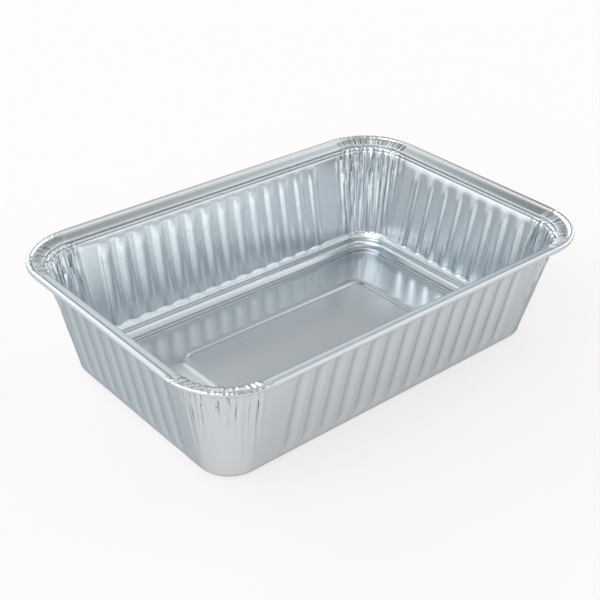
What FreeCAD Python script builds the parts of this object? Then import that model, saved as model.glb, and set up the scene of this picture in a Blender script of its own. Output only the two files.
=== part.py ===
# An oblong foil tray, pressed from one sheet: raised floor panel with a small ridge,
# rounded bottom edge, a smooth band above it, sloping fluted walls, gathered corners, stepped
# rim flange and an edge curled over into a bead.  Millimetres, +Z up, resting on Z = 0, centred on X and Y.
import FreeCAD
import Part
import Sketcher
import math
import os

doc = FreeCAD.newDocument("foil_tray")
sheet = doc.addObject("Spreadsheet::Sheet", "Sizes")

SIZES = [
    # overall
    ("tray_length", 240.0),
    ("tray_width", 163.6),
    ("tray_height", 61.0),
    ("foil", 0.22),
    # rim, from the outside inwards
    ("rim_corner", 31.6),
    ("bead_radius", 1.15),
    ("bead_facets", 9),
    ("curl_angle", 325.0),
    ("flange_width", 5.5),
    ("flange_rise", 1.95),
    ("riser_height", 1.6),
    ("ledge_width", 0.35),
    # wall and rounded bottom edge
    ("wall_run", 10.65),
    ("foot_height", 4.5),
    ("foot_run", 3.7),
    ("foot_corner", 16.8),
    # smooth band round the foot of the wall, standing in by its depth
    ("band_height", 2.6),
    ("band_step", 1.6),
    ("band_depth", 0.8),
    # gathers of the foil in the corners
    ("pleat_count", 12),
    ("pleat_depth", 0.9),
    ("crimp_lift", 0.35),
    # flutes pressed into the walls
    ("flute_pitch", 10.45),
    ("flute_width", 6.5),
    ("flute_depth", 0.9),
    ("flute_side", 1.5),
    ("flute_end", 2.4),
    ("flute_low", 5.0),
    ("flute_high", 53.8),
    ("flute_count_long", 14),
    ("flute_count_short", 8),
    ("flute_shift", 2.6),
    # floor: flat resting ring, slope up to a ridge round a flat panel
    ("ring_width", 2.0),
    ("panel_half_length", 61.0),
    ("panel_half_width", 26.5),
    ("panel_corner", 6.0),
    ("panel_steps", 6),
    ("panel_rise", 4.0),
    ("ridge_ramp", 1.3),
    ("ridge_height", 0.6),
    ("ridge_drop", 0.5),
    ("ridge_top", 0.8),
]
for row, (name, value) in enumerate(SIZES, start=1):
    sheet.set("A" + str(row), name)
    sheet.set("B" + str(row), str(value))
    sheet.setAlias("B" + str(row), name)
doc.recompute()


def size(name):
    return float(sheet.get(name))


def count(name):
    return int(round(size(name)))


foil = size("foil")
half_length = size("tray_length") / 2
half_width = size("tray_width") / 2

# Heights and insets (distance in from the outside of the rim) that the sizes lead to.
bead_level = size("tray_height") - size("bead_radius")
riser_inset = 2 * size("bead_radius") + size("flange_width")
wall_top_inset = riser_inset + size("ledge_width")
riser_top = bead_level - size("flange_rise")
wall_top = riser_top - size("riser_height")
wall_foot_inset = wall_top_inset + size("wall_run")
wall_height = wall_top - size("foot_height")
wall_slope = size("wall_run") / wall_height
band_out = size("band_depth") * math.hypot(1.0, wall_slope)
floor_inset = wall_foot_inset + band_out + size("foot_run")


# A station on the wall at one height, standing in by so much, its folds so deep.
def wall_station(height, inwards, fold):
    above = height - size("foot_height")
    top_corner = size("rim_corner") - wall_top_inset
    corner = size("foot_corner") + (top_corner - size("foot_corner")) * above / wall_height
    return (wall_foot_inset - wall_slope * above + inwards, height, corner - inwards, fold, 0.0)


# The pressed sheet seen in section: under side, from the floor edge out to the bead.
# Each station is inset, height, corner radius, fold depth and lift of the folds.
def stations():
    foot_corner = size("foot_corner")
    run = size("foot_run")
    rise = size("foot_height")
    rows = []
    for part in (0.0, 1 / 3, 2 / 3, 1.0):
        bend = math.radians(90 * part)
        inset = floor_inset - run * math.sin(bend)
        height = rise * (1 - math.cos(bend))
        rows.append((inset, height, foot_corner - (inset - wall_foot_inset), 0.0, 0.0))
    fold = size("pleat_depth")
    lift = size("crimp_lift")
    band_top = rise + size("band_height")
    rows.append(wall_station(band_top, band_out, 0.0))
    rows.append(wall_station(band_top + size("band_step"), 0.0, 0.0))
    rows.append(wall_station(wall_top, 0.0, fold))
    ledge_corner = size("rim_corner") - riser_inset
    rows.append((riser_inset, wall_top, ledge_corner, fold, 0.0))
    rows.append((riser_inset, riser_top, ledge_corner, fold, lift))
    end_inset = 2 * size("bead_radius") - foil / 2
    end_corner = size("rim_corner") - end_inset
    rows.append((end_inset, bead_level - foil / 2, end_corner, 0.0, 0.0))
    return rows


# The other side of the sheet: every station moved by the foil, square to the sheet.
def other_side(rows):
    moved = []
    for index, (inset, height, corner, fold, lift) in enumerate(rows):
        before = (1.0, 0.0)
        if index > 0:
            before = heading(rows[index - 1], rows[index])
        after = before
        if index < len(rows) - 1:
            after = heading(rows[index], rows[index + 1])
        normal = (-before[1] - after[1], before[0] + after[0])
        scale = 2 * foil / (normal[0] ** 2 + normal[1] ** 2)
        inward = -scale * normal[0]
        moved.append((inset + inward, height + scale * normal[1], corner - inward, fold, lift))
    return moved


def heading(start, end):
    across = start[0] - end[0]
    up = end[1] - start[1]
    reach = math.hypot(across, up)
    return (across / reach, up / reach)


# One closed line round the tray: straight sides, corners folded in and out.
def sheet_line(station):
    inset, height, corner, fold, lift = station
    return outline(half_length - inset, half_width - inset, corner, height,
                   2 * count("pleat_count"), fold, lift)


def outline(across, deep, corner, height, steps, fold=0.0, lift=0.0):
    points = []
    for quarter, (side_x, side_y) in enumerate(((1, 1), (-1, 1), (-1, -1), (1, -1))):
        centre_x = side_x * (across - corner)
        centre_y = side_y * (deep - corner)
        for step in range(steps + 1):
            turn = math.radians(90 * (quarter + step / steps))
            folded = 0.0
            if step % 2:
                folded = 0.7 + 0.3 * math.cos(2.4 * step + quarter)
            reach = corner - fold * folded
            points.append(FreeCAD.Vector(centre_x + reach * math.cos(turn),
                                         centre_y + reach * math.sin(turn),
                                         height + lift * folded))
    return points


def flat_face(points):
    return Part.Face(Part.makePolygon(points + points[:1]))


# Flat between two neighbouring lines where it can be, creased along the short diagonal
# where a fold twists it.
def strip(low, high):
    faces = []
    for i in range(len(low)):
        j = (i + 1) % len(low)
        square = (low[j] - low[i]).cross(high[i] - low[i])
        if abs(square.dot(high[j] - low[i])) < 1e-7 * square.Length:
            faces.append(flat_face([low[i], low[j], high[j], high[i]]))
        elif (high[j] - low[i]).Length < (high[i] - low[j]).Length:
            faces.append(flat_face([low[i], low[j], high[j]]))
            faces.append(flat_face([low[i], high[j], high[i]]))
        else:
            faces.append(flat_face([low[i], low[j], high[i]]))
            faces.append(flat_face([low[j], high[j], high[i]]))
    return faces


# The gathered corners have no sketch or loft of their own, so the space under a face of the
# sheet is closed from its creases.
def folded_block(name, lines):
    faces = [flat_face(lines[0]), flat_face(lines[-1])]
    for low, high in zip(lines, lines[1:]):
        faces.extend(strip(low, high))
    block = doc.addObject("Part::Feature", name)
    solid = Part.Solid(Part.Shell(faces))
    if solid.Volume < 0:
        solid.reverse()
    block.Shape = solid
    return block


def cut(name, base, tool):
    result = doc.addObject("Part::Cut", name)
    result.Base = base
    result.Tool = tool
    return result


def fuse(name, shapes):
    result = doc.addObject("Part::MultiFuse", name)
    result.Shapes = shapes
    return result


under = stations()
upper = other_side(under)
under.append((under[-1][0], upper[-1][1], under[-1][2], 0.0, 0.0))
upper.append((upper[-1][0], upper[-1][1] + 1.0, upper[-1][2], 0.0, 0.0))
pressed = cut("Pressed", folded_block("Block", [sheet_line(row) for row in under]),
              folded_block("Inside", [sheet_line(row) for row in upper]))


# Floor: the panel is pushed up inside the resting ring and edged by a ridge.  The same
# lines on both faces of the foil give the added metal and the hollow under it.
def panel_line(shrink, height):
    return outline(size("panel_half_length") - shrink, size("panel_half_width") - shrink,
                   size("panel_corner") - shrink, height, count("panel_steps"))


def ring_line(height):
    inset = floor_inset + size("ring_width")
    corner = size("foot_corner") - (inset - wall_foot_inset)
    return outline(half_length - inset, half_width - inset, corner, height, count("panel_steps"))


def panel(name, face, below):
    slope_top = size("panel_rise") + face
    crest = slope_top + size("ridge_height")
    hill = folded_block(name + "Hill", [
        ring_line(below), ring_line(face),
        panel_line(-size("ridge_ramp"), slope_top), panel_line(0.0, crest)])
    dish = folded_block(name + "Dish", [
        panel_line(size("ridge_top") + size("ridge_ramp"), crest - size("ridge_drop")),
        panel_line(size("ridge_top"), crest), panel_line(size("ridge_top"), crest + foil)])
    return cut(name, hill, dish)


raised_panel = panel("Raised", foil, foil / 2)
panel_hollow = panel("Hollow", 0.0, -foil)


# A rounded rectangle drawn in a sketch, its sizes and height held by the sheet.
def rounded_sketch(name, across, deep, corner, height):
    sketch = doc.addObject("Sketcher::SketchObject", name)
    sketch.Placement = FreeCAD.Placement(FreeCAD.Vector(0, 0, 0), FreeCAD.Rotation())
    a, b, r = 50.0, 30.0, 5.0
    vector = FreeCAD.Vector
    up = vector(0, 0, 1)
    ends = (((a, r - b), (a, b - r)), ((a - r, b), (r - a, b)),
            ((-a, b - r), (-a, r - b)), ((r - a, -b), (a - r, -b)))
    centres = ((a - r, b - r), (r - a, b - r), (r - a, r - b), (a - r, r - b))
    for i in range(4):
        start, end = ends[i]
        sketch.addGeometry(Part.LineSegment(vector(*start, 0), vector(*end, 0)))
        circle = Part.Circle(vector(*centres[i], 0), up, r)
        sketch.addGeometry(Part.ArcOfCircle(circle, i * math.pi / 2, (i + 1) * math.pi / 2))
    add = sketch.addConstraint
    for i in range(4):
        line = 2 * i
        arc = 2 * i + 1
        following = (2 * i + 2) % 8
        add(Sketcher.Constraint("Tangent", line, 2, arc, 1))
        add(Sketcher.Constraint("Tangent", arc, 2, following, 1))
    for i in range(3):
        add(Sketcher.Constraint("Equal", 1, 2 * i + 3))
    for i in (0, 4):
        add(Sketcher.Constraint("Vertical", i))
        add(Sketcher.Constraint("Horizontal", i + 2))
    add(Sketcher.Constraint("Symmetric", 0, 1, 4, 1, -1, 1))
    corner_row = add(Sketcher.Constraint("Radius", 1, r))
    across_row = add(Sketcher.Constraint("DistanceX", -1, 1, 0, 1, a))
    deep_row = add(Sketcher.Constraint("DistanceY", -1, 1, 2, 1, b))
    sketch.setExpression("Constraints[" + str(corner_row) + "]", corner)
    sketch.setExpression("Constraints[" + str(across_row) + "]", across)
    sketch.setExpression("Constraints[" + str(deep_row) + "]", deep)
    sketch.setExpression(".Placement.Base.z", height)
    return sketch


# Rim: the edge of the sheet curled outwards and under into a hollow bead.
bead_path = rounded_sketch("BeadPath", "Sizes.tray_length / 2 - Sizes.bead_radius",
                           "Sizes.tray_width / 2 - Sizes.bead_radius",
                           "Sizes.rim_corner - Sizes.bead_radius",
                           "Sizes.tray_height - Sizes.bead_radius")


def curl_point(reach, angle):
    turn = math.radians(angle)
    return FreeCAD.Vector(half_length - size("bead_radius") + reach * math.cos(turn),
                          size("rim_corner") - half_width,
                          bead_level + reach * math.sin(turn))


curl_step = size("curl_angle") / count("bead_facets")
curl_angles = [180 + curl_step / 2 - curl_step * i for i in range(count("bead_facets") + 1)]
curl = [curl_point(size("bead_radius"), angle) for angle in curl_angles]
curl = curl + [curl_point(size("bead_radius") - foil, angle) for angle in reversed(curl_angles)]
bead_section = doc.addObject("Part::Feature", "BeadSection")
bead_section.Shape = Part.makePolygon(curl + curl[:1])
bead = doc.addObject("Part::Sweep", "Bead")
bead.Sections = [bead_section]
bead.Spine = (bead_path, ["Edge" + str(i) for i in range(1, 9)])
bead.Solid = True
bead.Frenet = False


# Flutes: shallow channels pressed inwards, running down onto the band.  Each is a wedge of
# metal added inside the wall (skin) and a smaller one cut from outside (hollow), drawn with
# Y square to the wall.
WALL_HEIGHT = "(Sizes.tray_height - Sizes.bead_radius - Sizes.flange_rise - Sizes.riser_height"
WALL_HEIGHT = WALL_HEIGHT + " - Sizes.foot_height)"
LEAN = "atan(Sizes.wall_run / " + WALL_HEIGHT + ")"
FOOT = "(Sizes.wall_run + Sizes.ledge_width + Sizes.flange_width + 2 * Sizes.bead_radius)"
SIDE_SLOPE = "Sizes.flute_side / Sizes.flute_depth"
END_SLOPE = "Sizes.flute_end / Sizes.flute_depth"
SIDE_TRIM = "Sizes.foil * tan(atan(Sizes.flute_depth / Sizes.flute_side) / 2)"
END_TRIM = "Sizes.foil * tan(atan(Sizes.flute_depth / Sizes.flute_end) / 2)"
LOW = "(Sizes.flute_low - Sizes.foot_height) / cos(" + LEAN + ")"
HIGH = "(Sizes.flute_high - Sizes.foot_height) / cos(" + LEAN + ")"


def flute(name, place, below, above, zero, side_trim, end_trim):
    # below and above: how far the wedge starts behind and ends beyond its face of the wall (zero).
    wedge = doc.addObject("Part::Wedge", name)
    half = "Sizes.flute_width / 2 - " + side_trim
    wide = "(" + half + " + " + below + " * " + SIDE_SLOPE + ")"
    narrow = "(" + half + " - " + above + " * " + SIDE_SLOPE + ")"
    grow = end_trim + " - " + below + " * " + END_SLOPE
    shrink = end_trim + " + " + above + " * " + END_SLOPE
    wedge.setExpression("Xmax", narrow)
    wedge.setExpression("Xmin", "-" + narrow)
    wedge.setExpression("X2max", wide)
    wedge.setExpression("X2min", "-" + wide)
    wedge.setExpression("Zmin", LOW + " + " + shrink)
    wedge.setExpression("Zmax", HIGH + " - (" + shrink + ")")
    wedge.setExpression("Z2min", LOW + " + " + grow)
    wedge.setExpression("Z2max", HIGH + " - (" + grow + ")")
    wedge.setExpression("Ymin", zero + " - " + above)
    wedge.setExpression("Ymax", zero + " + " + below)
    wedge.setExpression(".Placement.Base.x", place)
    return wedge


def row(name, number, half_size, shift, kind):
    wedges = []
    for i in range(number):
        place = str(i - (number - 1) / 2) + " * Sizes.flute_pitch" + shift
        if kind == "Skin":
            wedge = flute(name + str(i), place, "Sizes.foil / 2", "Sizes.flute_depth",
                          "-Sizes.foil", "0", "0")
        else:
            wedge = flute(name + str(i), place, "0.5", "Sizes.flute_depth", "0",
                          SIDE_TRIM, END_TRIM)
        wedges.append(wedge)
    line = doc.addObject("Part::Compound", name)
    line.Links = wedges
    line.Placement = FreeCAD.Placement(FreeCAD.Vector(0, 0, 0),
                                       FreeCAD.Rotation(FreeCAD.Vector(-1, 0, 0), 1))
    line.setExpression(".Placement.Rotation.Angle", LEAN)
    line.setExpression(".Placement.Base.y", half_size + " / 2 - " + FOOT)
    line.setExpression(".Placement.Base.z", "Sizes.foot_height")
    return line


def turned(name, line, angle):
    side = doc.addObject("Part::Compound", name)
    side.Links = [line]
    side.Placement = FreeCAD.Placement(FreeCAD.Vector(0, 0, 0),
                                       FreeCAD.Rotation(FreeCAD.Vector(0, 0, 1), angle))
    return side


def all_sides(kind):
    long_row = row("Long" + kind, count("flute_count_long"), "Sizes.tray_width", " - Sizes.flute_shift", kind)
    short_row = row("Short" + kind, count("flute_count_short"), "Sizes.tray_length", " + Sizes.flute_shift", kind)
    return [turned("Back" + kind, long_row, 0), turned("Front" + kind, long_row, 180),
            turned("Right" + kind, short_row, -90), turned("Left" + kind, short_row, 90)]


skins = all_sides("Skin")
hollows = all_sides("Hollows")
joined = fuse("Joined", [pressed, raised_panel, bead] + skins)
cutters = doc.addObject("Part::Compound", "Cutters")
cutters.Links = [panel_hollow] + hollows
tray = cut("foil_tray", joined, cutters)
tray.Label = "foil_tray"
doc.recompute()

for thing in doc.Objects:
    if "Invalid" in thing.State or "Error" in thing.State:
        raise RuntimeError("not built: " + thing.Name)
shape = tray.Shape
if shape.isNull() or not shape.isValid() or len(shape.Solids) != 1:
    raise RuntimeError("the tray is not one sound solid")
os.makedirs("parts", exist_ok=True)
solid = shape.Solids[0]
solid.exportStep("parts/" + tray.Label + ".step")
print(tray.Label, len(solid.Faces), "faces", round(solid.Volume, 1), "mm3", solid.BoundBox)
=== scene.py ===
import math
from collections import namedtuple
import bpy
import numpy as np
from mathutils import Matrix, Vector


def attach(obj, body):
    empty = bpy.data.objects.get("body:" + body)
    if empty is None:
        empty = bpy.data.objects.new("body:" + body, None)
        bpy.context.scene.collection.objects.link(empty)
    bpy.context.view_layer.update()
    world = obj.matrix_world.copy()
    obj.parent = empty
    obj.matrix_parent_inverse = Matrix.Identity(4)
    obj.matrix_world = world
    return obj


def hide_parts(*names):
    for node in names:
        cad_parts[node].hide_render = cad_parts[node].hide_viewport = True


# The tray is one sheet of foil.  It is drawn here as a fine mesh on the measures of the solid, in
# millimetres, with the creases of the gathered corners and the crimps of the rim.  Half the length
# and half the width are 0.04 less than the solid's, so that no point passes the solid's box.
MM = 0.001
HALF_LENGTH = 119.96
HALF_WIDTH = 81.76
HEIGHT = 61.0
FOIL = 0.22
RIM_CORNER = 31.6

# Rim: the curled bead, the flange, the riser down to the ledge, and the top of the wall.
# An inset is measured in from the outline.
BEAD = 1.43
BEAD_INSET = 1.45
BEAD_LEVEL = HEIGHT - BEAD_INSET
BEAD_START = 168.0
BEAD_TURN = 298.0
BEAD_STEPS = 12
FLANGE_DROP = 0.1
FLANGE_OVERLAP = 0.02
RISER_INSET = 7.8
RISER_TOP = 57.9
RISER_RADIUS = 0.3
LEDGE_RADIUS = 0.14
WALL_TOP_INSET = 8.15
WALL_TOP = 56.3

# Foot: the wall ends on a smooth band, and a cove leads from there to the flat ring.  Each point
# of the cove is a share of the way out and a share of the way up.
WALL_FOOT_INSET = 18.8
FOOT_HEIGHT = 4.5
FOOT_CORNER = 16.8
FLOOR_INSET = 23.3
RING_WIDTH = 2.0
COVE = ((0.0, 0.0), (0.26, 0.1), (0.55, 0.22), (0.8, 0.36), (0.92, 0.52), (0.98, 0.76))
BAND_DEPTH = 0.62
BAND_TOP = 7.4
BAND_STEP = 1.0
LIP_DEPTH = 0.6
LIP_START = 4.6
LIP_LEVEL = 5.1
LIP_END = BAND_TOP + 0.8

# A thin groove runs round under the ledge.
GROOVE_LEVEL = 54.7
GROOVE_DEPTH = 0.28
GROOVE_SPREAD = 0.75
CORNER_GROOVE = 0.5

# Flutes, pressed inwards.  They are wider and shallower on the outer skin.
FLUTE_PITCH = 10.45
FLUTE_WIDTH = 6.6
FLUTE_SIDE = 1.6
FLUTE_DEPTH = 0.75
FLUTE_CROWN = 0.15
FLUTE_END = 8.5
FLUTE_HIGH = 54.0
FLUTES_LONG = 14
FLUTES_SHORT = 8
FLUTE_SHIFT = 2.6
SIDE_END = 2.0
OUTER_FLUTE_WIDTH = 7.4
OUTER_FLUTE_SIDE = 3.0
OUTER_FLUTE_LONG = 0.6
OUTER_FLUTE_SHORT = 0.36
OUTER_FLUTE_START = 5.0

# Floor: it slopes up to a raised panel with a low ridge round it.  Each point of the slope is a
# share of the way in from the ring to the ridge, and a height.
PANEL_HALF_LENGTH = 61.0
PANEL_HALF_WIDTH = 26.5
PANEL_CORNER = 7.5
PANEL_RISE = 4.0
PANEL_MARGIN = 1.0
SLOPE = ((0.014, 0.07), (0.032, 0.2), (0.048, 0.31), (0.07, 0.41), (0.12, 0.58), (0.97, 3.9))
RIDGE_RAMP = 2.1
RIDGE_HEIGHT = 0.6
RIDGE_TOP = 0.9
RIDGE_DROP = 0.6
RIDGE_SHARES = (0.25, 0.5, 0.75, 1.0)
FLOOR_SIDE_STEPS = 8
FLOOR_CORNER_STEPS = 10

# Gathered corners.  The folds run on for 16 degrees past both ends of a corner, laid out on the
# straight walls there at 0.35 mm to the degree.
CORNER_COLUMNS = 86
CORNER_SIDES = ((1, 1), (-1, 1), (-1, -1), (1, -1))
FOLD_PAST = 16.0
MM_PER_DEGREE = 0.35
FOLD_REACH = FOLD_PAST * MM_PER_DEGREE
FOLD_ROOM = FOLD_REACH + 0.8
FOLD_COLUMNS = 7
FOLD_FADE = 12.0
FOLD_FIRST = -12.0
FOLD_SPAN = 114.0
FOLD_RIDGE = 0.35
FOLD_SWAY = 50.0
FOLD_DEEPEST = -2.1
FOLD_HIGHEST = 0.5
FOLD_ON_RISER = 0.15
CRIMP_FADE = 6.0
SQUEEZE = 0.12
FULL_PHASE = 6.3
# How many folds, the depth of the deepest and the length of the longest.
COARSE_FOLDS = (24, 1.9, 80.0)
FINE_FOLDS = (42, 0.55, 70.0)
# How many creases or crimps, and the depth of the deepest.
DENTS = (15, 1.15)
RIM_CRIMPS = (36, 0.78)
BEAD_CRIMPS = (40, 0.4)

# Looks of the foil, and of the paper that it stands on.
FOIL_COLOUR = (0.683, 0.71, 0.729)
FOIL_EDGE_TINT = (0.42, 0.5, 0.55)
FOIL_ROUGHNESS = 0.21
GRAIN_SCALE = 900
GRAIN_DETAIL = 3
GRAIN_STRENGTH = 0.2
GRAIN_DEPTH = 0.0002
PAPER_SIZE = 60
PAPER_COLOUR = (0.9, 0.87, 0.855)
PAPER_GLOW = (0.982, 0.967, 0.962)
PAPER_ROUGHNESS = 0.9
PAPER_SHARES = (("Is Camera Ray", 0.7), ("Is Glossy Ray", 0.4), ("Is Transmission Ray", 0.7))

# The studio lights the tray with soft round patches on the world: three rings of them, one
# overhead, and a wide one below that lights the under side where no floor hides it.  Each ring
# has its elevation, the spread of its patches, and the azimuth and strength of each patch.
RINGS = (
    (10, 32, ((0, 1.68), (60, 0.95), (90, 2.0), (150, 0.96), (210, 0.72), (300, 0.61))),
    (33, 32, ((0, 0.73), (45, 0.33), (90, 1.2), (135, 0.68), (180, 1.87), (225, 1.02),
              (270, 0.52), (315, 0.74))),
    (58, 32, ((0, 0.5), (120, 0.1), (180, 1.08), (300, 0.2))),
    (90, 32, ((0, 0.45),)),
    (-90, 88, ((0, 0.8),)),
)
LIGHT_LEVEL = 1.1
SKY_COLOUR = (0.972, 0.99, 1.0)
WHITE = (0.988, 0.975, 0.97)
WHITE_SHARES = (("Is Camera Ray", 1.0), ("Is Transmission Ray", 1.0))

# The camera, solved from the outlines in the photograph: metres, degrees, and a focal length in
# pixels of the photograph, which is 600 wide.
PHOTO_WIDTH = 600
FOCAL_PIXELS = 1145.52
SENSOR = 36
CAMERA_AZIMUTH = -41.41
CAMERA_ELEVATION = 31.39
CAMERA_ROLL = 1.47
CAMERA_TARGET = (-0.0003975, 0.0050175, 0.0240825)
CAMERA_DISTANCE = 0.57198
NEAREST_SEEN = 0.01
FARTHEST_SEEN = 50

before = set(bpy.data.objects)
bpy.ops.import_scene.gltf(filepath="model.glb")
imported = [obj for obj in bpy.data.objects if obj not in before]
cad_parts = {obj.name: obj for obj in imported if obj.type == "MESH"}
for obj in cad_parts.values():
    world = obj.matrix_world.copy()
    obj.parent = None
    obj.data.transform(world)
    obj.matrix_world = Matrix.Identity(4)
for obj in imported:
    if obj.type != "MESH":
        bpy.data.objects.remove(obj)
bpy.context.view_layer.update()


def smooth(share):
    share = np.clip(share, 0, 1)
    return share * share * (3 - 2 * share)


# The section of the sheet, as points of its under side: inset and height.
FOOT = np.array((WALL_FOOT_INSET, FOOT_HEIGHT))
TOP = np.array((WALL_TOP_INSET, WALL_TOP))
LEDGE = np.array((RISER_INSET, WALL_TOP))
RISER = np.array((RISER_INSET, RISER_TOP))
FLANGE = np.array((2 * BEAD_INSET - FLANGE_OVERLAP, BEAD_LEVEL - FLANGE_DROP))


def fillet(before, bend, after, radius, steps):
    """Points of the arc that rounds the bend between two straight stretches."""
    back = before - bend
    ahead = after - bend
    back /= np.linalg.norm(back)
    ahead /= np.linalg.norm(ahead)
    half = math.acos(max(-1.0, min(1.0, float(back @ ahead)))) / 2
    reach = radius / math.tan(half)
    start = bend + back * reach
    end = bend + ahead * reach
    middle = bend + (back + ahead) / np.linalg.norm(back + ahead) * (radius / math.sin(half))
    points = []
    for i in range(steps + 1):
        share = i / steps
        spoke = start * (1 - share) + end * share - middle
        points.append(tuple(middle + spoke / np.linalg.norm(spoke) * radius))
    return points


def cove_points():
    """From the flat ring out and up to the foot of the wall."""
    lean = math.atan2(WALL_FOOT_INSET - WALL_TOP_INSET, WALL_TOP - FOOT_HEIGHT)
    width = FLOOR_INSET - (WALL_FOOT_INSET + BAND_DEPTH * math.cos(lean))
    rise = FOOT_HEIGHT + BAND_DEPTH * math.sin(lean)
    return [(FLOOR_INSET - width * run, rise * climb) for run, climb in COVE]


def wall_points():
    """Up the sloping wall, closer together at the lip, the band, the flutes' ends and the groove."""
    heights = [FOOT_HEIGHT + up for up in (0.0, 0.25, 0.6, 1.0, 2.0)]
    heights += [BAND_TOP + BAND_STEP * share for share in (0.0, 0.25, 0.5, 0.75, 1.0, 1.3)]
    heights += [12.0, 18.0, 24.5, 31.0, 37.5, 43.5]
    heights += [FLUTE_HIGH - FLUTE_END * share for share in (1.0, 0.7, 0.35, 0.0)]
    heights += [GROOVE_LEVEL + up for up in (-0.45, -0.2, 0.1, 0.4, 0.7, 1.0)]
    shares = [(level - FOOT_HEIGHT) / (WALL_TOP - FOOT_HEIGHT) for level in heights]
    return [tuple(FOOT + (TOP - FOOT) * share) for share in shares]


def rim_points():
    """Over the ledge, up the riser, across the flange and round the bead."""
    points = fillet(FOOT, TOP, LEDGE, LEDGE_RADIUS, 2)
    points += fillet(TOP, LEDGE, RISER, LEDGE_RADIUS, 2)
    points.append((RISER_INSET, WALL_TOP + 0.7))
    points += fillet(LEDGE, RISER, FLANGE, RISER_RADIUS, 3)
    points += [tuple(RISER + (FLANGE - RISER) * share) for share in (0.3, 0.7, 0.95)]
    curl = BEAD - FOIL
    for i in range(BEAD_STEPS + 1):
        turn = math.radians(BEAD_START - BEAD_TURN * i / BEAD_STEPS)
        points.append((BEAD_INSET - curl * math.cos(turn), BEAD_LEVEL + curl * math.sin(turn)))
    return points


def corner_radii(inset, height):
    """Radius of the tray's corner in plan, at each point of the section."""
    share = np.clip((height - FOOT_HEIGHT) / (WALL_TOP - FOOT_HEIGHT), 0, 1)
    cove = FOOT_CORNER - (inset - WALL_FOOT_INSET)
    wall = FOOT_CORNER + (RIM_CORNER - WALL_TOP_INSET - FOOT_CORNER) * share
    above = RIM_CORNER - inset
    return np.where(height < FOOT_HEIGHT, cove, np.where(inset > WALL_TOP_INSET, wall, above))


def under_directions(inset, height):
    """Directions square to the section, towards the under side of the sheet."""
    step = np.diff(np.stack([-inset, height], 1), axis=0)
    step /= np.linalg.norm(step, axis=1)[:, None]
    tangent = np.vstack([step[:1], step[:-1] + step[1:], step[-1:]])
    tangent /= np.linalg.norm(tangent, axis=1)[:, None]
    return np.stack([tangent[:, 1], -tangent[:, 0]], 1)


# From here on a station is one point of the section, and these arrays hold a value for each.
section = np.array(cove_points() + wall_points() + rim_points())
inset = section[:, 0]
height = section[:, 1]
corner = corner_radii(inset, height)
stations = len(section)
on_wall = (height >= FOOT_HEIGHT) & (inset > WALL_TOP_INSET) & (height < WALL_TOP - 0.02)
first_wall = int(np.argmax(on_wall))
under = under_directions(inset, height)
# The foot of the wall is square to the wall, not to the cove.
under[first_wall] = under[first_wall + 2]

below_wall = np.arange(stations) < first_wall
on_rim = (height > WALL_TOP - 1.0) & ~on_wall
on_bead = inset < 2 * BEAD_INSET
on_riser = (np.abs(inset - RISER_INSET) < 0.05) & (height > WALL_TOP + 0.1) & (height < RISER_TOP - 0.1)
# The crimps fade towards both edges of the flange.
flange_share = np.clip((RISER_INSET + 0.6 - inset) / 0.6, 0, 1)
flange_share *= np.clip((inset - 2 * BEAD_INSET + 0.1) / 1.5, 0, 1)

# Shapes that run round the whole tray.
band = 1 - smooth((height - BAND_TOP) / BAND_STEP)
groove = GROOVE_DEPTH * smooth(1 - np.abs(height - GROOVE_LEVEL) / GROOVE_SPREAD)
lip = LIP_DEPTH * np.clip((LIP_END - height) / (LIP_END - LIP_LEVEL), 0, 1)
lip *= smooth((height - LIP_START) / (LIP_LEVEL - LIP_START))
# The outer skin passes straight over the band, and its flutes start softly above the foot.
outer_foot = BAND_DEPTH * smooth(height / FOOT_HEIGHT)
flute_start = smooth((height - FOOT_HEIGHT + 0.2) / OUTER_FLUTE_START)
# The folds are weaker just under the ledge, and only a share of them shows outside.
fold_share = 0.45 + 0.55 * smooth((WALL_TOP - height) / 3.0)
outer_fold_share = 0.3 * smooth((height - 5.0) / 30.0)

# Columns round the tray.  A side column stands at a place along a straight wall.  A low or high
# column stands a few millimetres in from the low or high end of a straight wall, and its limit is
# the nearest side column.  A corner column stands at an angle round the corner, in degrees.
Column = namedtuple("Column", "kind quarter place limit")


def is_long(quarter):
    return quarter % 2 == 1


def side_flutes(quarter):
    """Number of flutes on one side, and how far their row sits off centre."""
    if is_long(quarter):
        return FLUTES_LONG, FLUTE_SHIFT
    return FLUTES_SHORT, -FLUTE_SHIFT


def side_places(quarter):
    """Places along one straight wall that follow its flutes."""
    flutes, shift = side_flutes(quarter)
    half = FLUTE_WIDTH / 2
    offsets = (half + 0.75, half + 0.05, half - FLUTE_SIDE * 0.5, half - FLUTE_SIDE - 0.05)
    places = []
    for i in range(flutes):
        centre = (i - (flutes - 1) / 2) * FLUTE_PITCH + shift
        places += [centre - offset for offset in offsets]
        places.append(centre)
        places += [centre + offset for offset in reversed(offsets)]
    return [places[0] - SIDE_END] + places + [places[-1] + SIDE_END]


def tray_columns():
    """All columns, in order round the tray."""
    made = []
    spread = [FOLD_REACH * i / FOLD_COLUMNS for i in range(FOLD_COLUMNS + 1)]
    for quarter in range(4):
        places = side_places(quarter)
        made += [Column("low", quarter, place, places[0]) for place in spread]
        made += [Column("side", quarter, place, 0.0) for place in places]
        made += [Column("high", quarter, place, places[-1]) for place in reversed(spread)]
        for i in range(1, CORNER_COLUMNS):
            made.append(Column("corner", quarter, 90.0 * i / CORNER_COLUMNS, 0.0))
    return made


def corner_angle(column):
    """The corner whose folds reach a column, and the column's angle round it, if there is one."""
    if column.kind == "corner":
        return column.quarter, column.place
    if column.kind == "high":
        return column.quarter, -column.place / MM_PER_DEGREE
    if column.kind == "low":
        return column.quarter - 1, 90 + column.place / MM_PER_DEGREE
    return column.quarter, None


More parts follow.
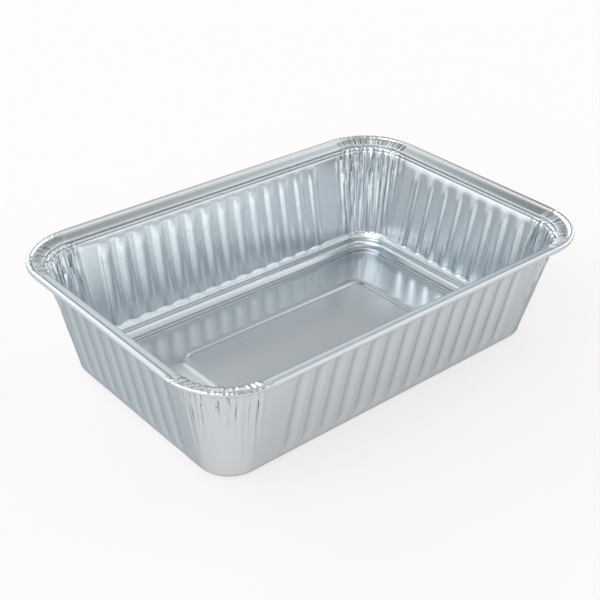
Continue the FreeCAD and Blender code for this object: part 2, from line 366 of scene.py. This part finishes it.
def flute_shape(along, quarter, width, side):
    """How far the flutes of one side stand in from the wall, 0 to 1."""
    flutes, shift = side_flutes(quarter)
    middle = (flutes - 1) / 2
    nearest = np.clip(np.round((along - shift) / FLUTE_PITCH + middle), 0, flutes - 1)
    off = np.abs(along - shift - (nearest - middle) * FLUTE_PITCH)
    crown = 1 - FLUTE_CROWN + FLUTE_CROWN * np.clip(1 - off / (width / 2 - side), 0, 1)
    return crown * smooth((width / 2 - off) / side) * smooth((FLUTE_HIGH - height) / FLUTE_END)


# Creases.  All chance is drawn here, in one order.
chance = np.random.RandomState(7)
down = np.maximum(WALL_TOP - height, 0)


def scattered(i, number, stray, first=0.0, span=90.0):
    """The angle of one of a number of lines, strewn almost evenly over a span."""
    return first + span * (i + 0.5 + chance.uniform(-stray, stray)) / number


def fold_lines(number, deepest, longest):
    """Ridge and valley lines of one gathered corner: angle and depth, in order at each station.

    The lines start under the rim and run down the wall.  Each wanders a little sideways and
    fades out at its own height.  A flat line past each end closes the row."""
    lines = []
    for i in range(number):
        angle = scattered(i, number, 0.36, FOLD_FIRST, FOLD_SPAN)
        depth = deepest * chance.uniform(0.4, 1.0) * (-1 if i % 2 else FOLD_RIDGE)
        reach = chance.uniform(0.45, 1.0) * longest
        sway = chance.uniform(0.3, 1.2) * FOLD_SWAY / number
        phase = chance.uniform(0, FULL_PHASE)
        beat = chance.uniform(0.12, 0.3)
        fade = np.clip(1.15 - down / reach, 0, 1) ** 0.7
        waver = 0.8 + 0.2 * np.sin(down * beat * 1.7 + phase)
        lines.append((angle + sway * np.sin(down * beat + phase), depth * fade * waver))
    rows = []
    for station in range(stations):
        row = sorted((angle[station], depth[station]) for angle, depth in lines)
        rows.append([(-FOLD_PAST - 2, 0.0)] + row + [(90 + FOLD_PAST + 2, 0.0)])
    return np.array(rows)


def folded(rows, angle):
    """Depth of the flat facets between the fold lines at one angle."""
    depth = np.array([np.interp(angle, row[:, 0], row[:, 1]) for row in rows])
    return depth * np.clip(min(angle + FOLD_PAST, 90 + FOLD_PAST - angle) / FOLD_FADE, 0, 1)


def dent_lines(number, deepest):
    """Sparse sharp creases that wander down from the rim: angle, depth and breadth."""
    lines = []
    for i in range(number):
        angle = scattered(i, number, 0.45)
        depth = deepest * chance.uniform(0.35, 1.0)
        reach = chance.uniform(18.0, 60.0)
        phase = chance.uniform(0, FULL_PHASE)
        beat = chance.uniform(0.15, 0.4)
        lean = chance.uniform(-0.12, 0.12)
        breadth = chance.uniform(1.4, 2.2)
        fade = smooth((reach - down) / (0.6 * reach))
        waver = 0.7 + 0.3 * np.sin(down * beat * 2 + phase)
        wander = lean * down + 1.3 * np.sin(down * beat + phase)
        lines.append((angle + wander, depth * fade * waver, breadth))
    return lines


def crimp_lines(number, deepest):
    """Close irregular crimps across the rim: angle, depth and breadth."""
    lines = []
    for i in range(number):
        angle = scattered(i, number, 0.35)
        breadth = 90 / number * chance.uniform(0.45, 0.75)
        depth = deepest * chance.uniform(0.3, 1.0)
        lines.append((angle, depth, breadth))
    return lines


def pinched(lines, angle):
    """Depth of the sharp creases or crimps at one angle."""
    total = 0.0
    for place, depth, breadth in lines:
        total = total + depth * np.clip(1 - np.abs(angle - place) / breadth, 0, 1)
    return total


corner_folds = []
for quarter in range(4):
    corner_folds.append((fold_lines(*COARSE_FOLDS), fold_lines(*FINE_FOLDS), dent_lines(*DENTS)))
corner_crimps = []
for quarter in range(4):
    corner_crimps.append((crimp_lines(*RIM_CRIMPS), crimp_lines(*BEAD_CRIMPS)))


# The two skins of the sheet.
def column_line(column):
    """A column on the plain tray: its x and y, its outward direction, and its place along a
    straight wall if it stands on one."""
    turn = math.radians(90 * column.quarter)
    if column.kind == "corner":
        side_x, side_y = CORNER_SIDES[column.quarter]
        turn += math.radians(column.place)
        out_x, out_y = math.cos(turn), math.sin(turn)
        x = side_x * (HALF_LENGTH - inset - corner) + corner * out_x
        y = side_y * (HALF_WIDTH - inset - corner) + corner * out_y
        return x, y, (out_x, out_y), None
    out_x, out_y = math.cos(turn), math.sin(turn)
    reach = (HALF_WIDTH if is_long(column.quarter) else HALF_LENGTH) - inset
    straight = (HALF_LENGTH if is_long(column.quarter) else HALF_WIDTH) - inset - corner
    if column.kind == "side":
        along = np.full(stations, column.place)
    elif column.kind == "low":
        along = -straight + column.place * np.minimum(1, (column.limit + straight) / FOLD_ROOM)
    else:
        along = straight - column.place * np.minimum(1, (straight - column.limit) / FOLD_ROOM)
    return reach * out_x - along * out_y, reach * out_y + along * out_x, (out_x, out_y), along


def column_folds(column):
    """Depth of the folds and of the sharp creases in one column of the wall."""
    owner, angle = corner_angle(column)
    if angle is None:
        return np.zeros(stations), np.zeros(stations)
    coarse, fine, dents = corner_folds[owner]
    fold = np.clip(folded(coarse, angle) + folded(fine, angle), FOLD_DEEPEST, FOLD_HIGHEST)
    return fold * fold_share, -pinched(dents, angle) * (1 - band)


def column_crimps(column, fold):
    """How far the rim stands off in one column: crimps across the flange and the bead."""
    if column.kind != "corner":
        return np.zeros(stations)
    rim_lines, bead_lines = corner_crimps[column.quarter]
    edge = np.clip(min(column.place, 90 - column.place) / CRIMP_FADE, 0, 1)
    depth = np.where(on_rim, -pinched(rim_lines, column.place) * edge * flange_share, 0.0)
    depth = np.where(on_rim & on_bead, pinched(bead_lines, column.place) * edge, depth)
    return np.where(on_riser, FOLD_ON_RISER * fold * edge, depth)


def column_depths(column, along):
    """How far the outer and the inner skin of one column stand out from the plain tray.

    A crease may bring the outer skin only a little nearer to the inner one."""
    fold, dent = column_folds(column)
    crimp = column_crimps(column, fold)
    flute = 0.0
    outer_flute = 0.0
    if along is not None:
        outer_flute = OUTER_FLUTE_LONG if is_long(column.quarter) else OUTER_FLUTE_SHORT
        outer_flute *= flute_shape(along, column.quarter, OUTER_FLUTE_WIDTH, OUTER_FLUTE_SIDE)
        flute = FLUTE_DEPTH * flute_shape(along, column.quarter, FLUTE_WIDTH, FLUTE_SIDE)
    crease = groove - lip
    if column.kind != "side":
        crease = crease - CORNER_GROOVE * groove
    inside = fold * (1 - band) + dent + crease - np.maximum(flute, BAND_DEPTH * band)
    outside = fold * outer_fold_share + dent - outer_flute * flute_start
    outside = np.where(on_wall, np.maximum(outside, inside - SQUEEZE), crimp)
    outside = np.where(below_wall, outer_foot, outside)
    return outside, np.where(on_wall, inside, crimp)


def tray_skins():
    """Points of the outer and the inner skin, by station and column."""
    outer = np.zeros((stations, count, 3))
    inner = np.zeros((stations, count, 3))
    for i, column in enumerate(columns):
        x, y, outward, along = column_line(column)
        outside, inside = column_depths(column, along)
        for skin, depth in ((outer, outside), (inner, inside - FOIL)):
            skin[:, i, 0] = x + depth * under[:, 0] * outward[0]
            skin[:, i, 1] = y + depth * under[:, 0] * outward[1]
            skin[:, i, 2] = height + depth * under[:, 1]
    return outer, inner


def floor_line(half_length, half_width, radius, level):
    """A coarse closed line for the floor, in step with the order of the columns."""
    points = []
    for quarter in range(4):
        turn = math.radians(90 * quarter)
        near, far = (half_width, half_length) if is_long(quarter) else (half_length, half_width)
        for i in range(FLOOR_SIDE_STEPS):
            along = (-1 + 2 * i / FLOOR_SIDE_STEPS) * (far - radius)
            points.append((near * math.cos(turn) - along * math.sin(turn),
                           near * math.sin(turn) + along * math.cos(turn), level))
        side_x, side_y = CORNER_SIDES[quarter]
        for i in range(FLOOR_CORNER_STEPS):
            spin = turn + math.radians(90 * i / FLOOR_CORNER_STEPS)
            points.append((side_x * (half_length - radius) + radius * math.cos(spin),
                           side_y * (half_width - radius) + radius * math.sin(spin), level))
    return points


def panel_size(shrink):
    """Half length, half width and corner radius of the panel, made smaller all round."""
    return np.array((PANEL_HALF_LENGTH, PANEL_HALF_WIDTH, PANEL_CORNER)) - shrink


def floor_lines(face):
    """Lines of the floor from the flat ring up the slope and over the ridge to the panel."""
    ring = FLOOR_INSET + RING_WIDTH
    ring_size = np.array((HALF_LENGTH - ring, HALF_WIDTH - ring, FOOT_CORNER - (ring - WALL_FOOT_INSET)))
    ridge_size = panel_size(-RIDGE_RAMP)
    crest = PANEL_RISE + RIDGE_HEIGHT
    lines = [(ring_size, 0.0)]
    lines += [(ring_size + (ridge_size - ring_size) * share, level) for share, level in SLOPE]
    lines.append((ridge_size, PANEL_RISE))
    for share in RIDGE_SHARES:
        lines.append((panel_size(-RIDGE_RAMP * (1 - share)), PANEL_RISE + RIDGE_HEIGHT * smooth(share)))
    lines.append((panel_size(RIDGE_TOP), crest))
    for share in RIDGE_SHARES:
        lines.append((panel_size(RIDGE_TOP + RIDGE_RAMP * share), crest - RIDGE_DROP * smooth(share)))
    lines.append((panel_size(RIDGE_TOP + RIDGE_RAMP + PANEL_MARGIN), crest - RIDGE_DROP))
    return np.array([floor_line(*size, level + face) for size, level in lines])


# The mesh.  The functions below add to these two lists.
columns = tray_columns()
count = len(columns)
verts = []
faces = []


def add_face(corners, flip):
    faces.append(corners[::-1] if flip else corners)


def add_grid(points, flip):
    """A closed band of four-sided faces over rows of points."""
    start = len(verts)
    high, wide = points.shape[:2]
    verts.extend(map(tuple, points.reshape(-1, 3)))
    for row in range(high - 1):
        low = start + row * wide
        for here in range(wide):
            beside = (here + 1) % wide
            add_face((low + here, low + beside, low + wide + beside, low + wide + here), flip)
    return start


def add_skin(points, face, flip):
    """One face of the sheet: the wall, the floor and the flat ring that joins them."""
    start = add_grid(points, flip)
    inward = floor_lines(face)[::-1]
    middle = add_grid(inward, flip)
    wide = inward.shape[1]
    ring = middle + (len(inward) - 1) * wide
    add_face(tuple(middle + here for here in range(wide)), not flip)
    nearest = []
    for point in inward[-1]:
        nearest.append(int(np.argmin(np.linalg.norm(points[0, :, :2] - point[:2], axis=1))))
    for here in range(wide):
        beside = (here + 1) % wide
        span = (nearest[beside] - nearest[here]) % count
        edge = [start + (nearest[here] + step) % count for step in range(span + 1)]
        add_face(tuple([ring + beside, ring + here] + edge), not flip)
    return start


def close_edge(first, second):
    """The cut edge of the foil at the end of the bead."""
    last = (stations - 1) * count
    for here in range(count):
        beside = (here + 1) % count
        faces.append((first + last + beside, first + last + here,
                      second + last + here, second + last + beside))


def foil_sheet():
    outer, inner = tray_skins()
    first = add_skin(outer, 0.0, False)
    second = add_skin(inner, FOIL, True)
    close_edge(first, second)
    mesh = bpy.data.meshes.new("foil_sheet")
    mesh.from_pydata([(x * MM, y * MM, z * MM) for x, y, z in verts], [], faces)
    mesh.validate()
    for polygon in mesh.polygons:
        polygon.use_smooth = True
    mesh.update()
    made = bpy.data.objects.new("foil_sheet", mesh)
    bpy.context.scene.collection.objects.link(made)
    return made


# Materials.
def material(name, colour, metallic, rough):
    made = bpy.data.materials.new(name)
    made.use_nodes = True
    shader = made.node_tree.nodes["Principled BSDF"]
    shader.inputs["Base Color"].default_value = (*colour, 1)
    shader.inputs["Metallic"].default_value = metallic
    shader.inputs["Roughness"].default_value = rough
    return made, shader


def foil_material():
    """Bare aluminium with a fine grain, darker and bluer where it is seen at a slant."""
    made, shader = material("foil", FOIL_COLOUR, 1.0, FOIL_ROUGHNESS)
    shader.inputs["Specular Tint"].default_value = (*FOIL_EDGE_TINT, 1)
    tree = made.node_tree
    position = tree.nodes.new("ShaderNodeTexCoord")
    grain = tree.nodes.new("ShaderNodeTexNoise")
    grain.inputs["Scale"].default_value = GRAIN_SCALE
    grain.inputs["Detail"].default_value = GRAIN_DETAIL
    tree.links.new(position.outputs["Object"], grain.inputs["Vector"])
    bump = tree.nodes.new("ShaderNodeBump")
    bump.inputs["Strength"].default_value = GRAIN_STRENGTH
    bump.inputs["Distance"].default_value = GRAIN_DEPTH
    tree.links.new(grain.outputs["Fac"], bump.inputs["Height"])
    tree.links.new(bump.outputs["Normal"], shader.inputs["Normal"])
    return made


def ray_share(tree, shares):
    """The largest of the shares that are given for the kinds of ray."""
    path = tree.nodes.new("ShaderNodeLightPath")
    largest = None
    for ray, amount in shares:
        share = tree.nodes.new("ShaderNodeMath")
        share.operation = "MULTIPLY"
        share.inputs[1].default_value = amount
        tree.links.new(path.outputs[ray], share.inputs[0])
        if largest is None:
            largest = share
        else:
            larger = tree.nodes.new("ShaderNodeMath")
            larger.operation = "MAXIMUM"
            tree.links.new(largest.outputs[0], larger.inputs[0])
            tree.links.new(share.outputs[0], larger.inputs[1])
            largest = larger
    return largest.outputs[0]


def mix_into(tree, share, first, second, target):
    """A share of the second shader over the first, led into the target node."""
    mix = tree.nodes.new("ShaderNodeMixShader")
    tree.links.new(share, mix.inputs["Fac"])
    tree.links.new(first.outputs[0], mix.inputs[1])
    tree.links.new(second.outputs[0], mix.inputs[2])
    tree.links.new(mix.outputs[0], tree.nodes[target].inputs["Surface"])


def paper_material():
    """White paper that glows a little for the eye and for the metal, so that it stays white and
    its shadows stay faint."""
    made, shader = material("floor", PAPER_COLOUR, 0.0, PAPER_ROUGHNESS)
    shader.inputs["Specular IOR Level"].default_value = 0.0
    tree = made.node_tree
    glow = tree.nodes.new("ShaderNodeEmission")
    glow.inputs["Color"].default_value = (*PAPER_GLOW, 1)
    mix_into(tree, ray_share(tree, PAPER_SHARES), shader, glow, "Material Output")
    return made


# The studio.
def light_patch(tree, direction, azimuth, elevation, spread, strength):
    """A soft round patch of light; its strength falls to nothing at the spread."""
    azimuth = math.radians(azimuth)
    elevation = math.radians(elevation)
    toward = tree.nodes.new("ShaderNodeVectorMath")
    toward.operation = "DOT_PRODUCT"
    toward.inputs[1].default_value = (math.cos(azimuth) * math.cos(elevation),
                                      math.sin(azimuth) * math.cos(elevation), math.sin(elevation))
    tree.links.new(direction.outputs["Generated"], toward.inputs[0])
    patch = tree.nodes.new("ShaderNodeMapRange")
    patch.interpolation_type = "SMOOTHSTEP"
    patch.inputs["From Min"].default_value = math.cos(math.radians(spread))
    patch.inputs["From Max"].default_value = 1.0
    patch.inputs["To Min"].default_value = 0.0
    patch.inputs["To Max"].default_value = LIGHT_LEVEL * strength
    tree.links.new(toward.outputs["Value"], patch.inputs["Value"])
    return patch.outputs["Result"]


def sum_of(tree, values):
    total = values[0]
    for value in values[1:]:
        added = tree.nodes.new("ShaderNodeMath")
        tree.links.new(total, added.inputs[0])
        tree.links.new(value, added.inputs[1])
        total = added.outputs[0]
    return total


def studio():
    """The patches of light, and a plain white that the eye sees past the edge of the floor."""
    world = bpy.data.worlds.new("studio")
    bpy.context.scene.world = world
    world.use_nodes = True
    tree = world.node_tree
    direction = tree.nodes.new("ShaderNodeTexCoord")
    patches = []
    for elevation, spread, ring in RINGS:
        for azimuth, strength in ring:
            patches.append(light_patch(tree, direction, azimuth, elevation, spread, strength))
    sky = tree.nodes["Background"]
    sky.inputs["Color"].default_value = (*SKY_COLOUR, 1)
    tree.links.new(sum_of(tree, patches), sky.inputs["Strength"])
    white = tree.nodes.new("ShaderNodeBackground")
    white.inputs["Color"].default_value = (*WHITE, 1)
    white.inputs["Strength"].default_value = 1.0
    mix_into(tree, ray_share(tree, WHITE_SHARES), sky, white, "World Output")


def photo_camera():
    """A camera that sees the tray as the photograph shows it."""
    made = bpy.data.cameras.new("camera")
    made.sensor_width = SENSOR
    made.lens = SENSOR * FOCAL_PIXELS / PHOTO_WIDTH
    made.clip_start = NEAREST_SEEN
    made.clip_end = FARTHEST_SEEN
    camera = bpy.data.objects.new("camera", made)
    bpy.context.scene.collection.objects.link(camera)
    azimuth = math.radians(CAMERA_AZIMUTH)
    elevation = math.radians(CAMERA_ELEVATION)
    roll = math.radians(CAMERA_ROLL)
    back = Vector((math.sin(azimuth) * math.cos(elevation), -math.cos(azimuth) * math.cos(elevation),
                   math.sin(elevation)))
    level_right = (-back).cross(Vector((0, 0, 1))).normalized()
    level_up = level_right.cross(-back)
    right = level_right * math.cos(roll) + level_up * math.sin(roll)
    up = level_up * math.cos(roll) - level_right * math.sin(roll)
    eye = Vector(CAMERA_TARGET) + back * CAMERA_DISTANCE
    camera.matrix_world = Matrix((
        (right.x, up.x, back.x, eye.x),
        (right.y, up.y, back.y, eye.y),
        (right.z, up.z, back.z, eye.z),
        (0, 0, 0, 1)))
    bpy.context.scene.camera = camera


sheet = foil_sheet()
sheet.data.materials.append(foil_material())
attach(sheet, "root")
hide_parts("foil_tray")

bpy.ops.mesh.primitive_plane_add(size=PAPER_SIZE, location=(0, 0, 0))
floor = bpy.context.object
floor.name = "floor"
floor.data.materials.append(paper_material())

studio()
bpy.context.scene.view_settings.view_transform = "Standard"
photo_camera()
